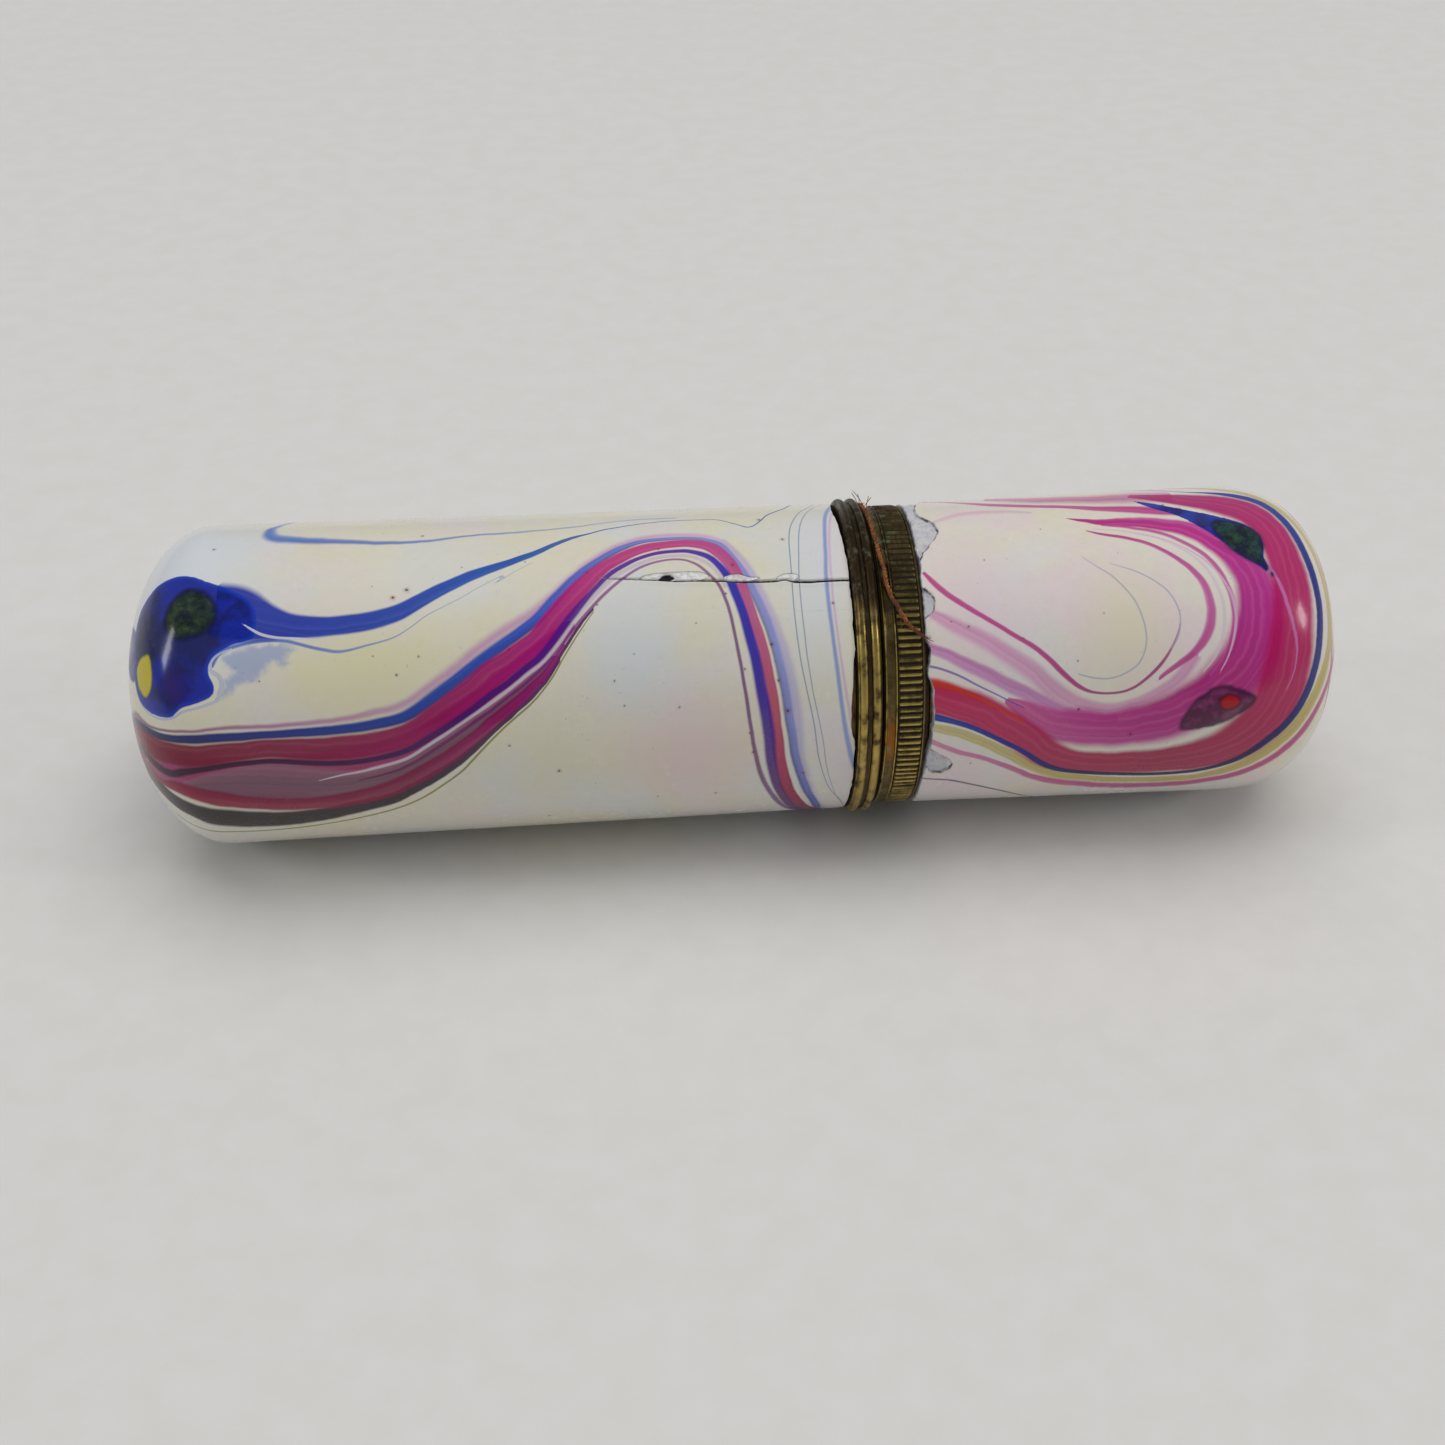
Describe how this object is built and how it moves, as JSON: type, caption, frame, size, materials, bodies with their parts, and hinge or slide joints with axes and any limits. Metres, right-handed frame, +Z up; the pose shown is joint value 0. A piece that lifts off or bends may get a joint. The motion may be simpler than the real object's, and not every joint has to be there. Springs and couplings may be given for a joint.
{
  "type": "lipstick case",
  "caption": "Round-ended marbled lipstick case: pull-off cap, knurled swivel collar, and a screw-up carrier that lifts the stick.",
  "frame": {"origin": "middle of the case, on the surface it lies on", "axes": "+X along the case from the cap's closed end to the base's closed end, +Z up"},
  "size_m": [0.074, 0.0196, 0.0196],
  "materials": {
    "marbled_base": "glossy marbled lacquer, cream with crimson, pink and blue veins, chipped at its edge",
    "marbled_cap": "glossy marbled lacquer, cream with blue, crimson and purple veins, cracked near its mouth",
    "old_brass": "tarnished brass, brown and olive with green deposits and worn bright ridges",
    "brass": "dulled drawn brass",
    "steel": "dull turned steel",
    "fibre_washer": "pressed fibre",
    "felt": "dense felt",
    "lip_colour": "satin wax"
  },
  "bodies": {
    "base": {"base_coating": "marbled_base", "base_shell": "old_brass", "base_weight": "steel", "slotted_tube": "brass", "tube_rivet": "brass", "retaining_ring": "brass", "brake_band": "felt", "thrust_washer": "fibre_washer"},
    "swivel": {"knurled_collar": "old_brass", "outer_sleeve": "brass", "spiral_sleeve": "brass"},
    "carrier": {"carrier_cup": "brass", "lug_pin_front": "steel", "lug_pin_back": "steel", "lipstick_stick": "lip_colour"},
    "cap": {"cap_coating": "marbled_cap", "cap_shell": "old_brass", "bead_ring": "old_brass", "cap_liner": "brass"}
  },
  "joints": [
    {"name": "swivel_turn", "type": "hinge", "parent": "base", "child": "swivel", "pos_m": [0, 0, 0.00981], "axis": [-1, 0, 0], "range_deg": [0, 540]},
    {"name": "carrier_lift", "type": "slide", "parent": "base", "child": "carrier", "axis": [-1, 0, 0], "range_m": [0, 0.02]},
    {"name": "cap_pull", "type": "slide", "parent": "swivel", "child": "cap", "axis": [-1, 0, 0], "range_m": [0, 0.045]}
  ],
  "couplings": [
    {"joint": "carrier_lift", "follows": "swivel_turn", "m_per_rad": 0.002122}
  ]
}
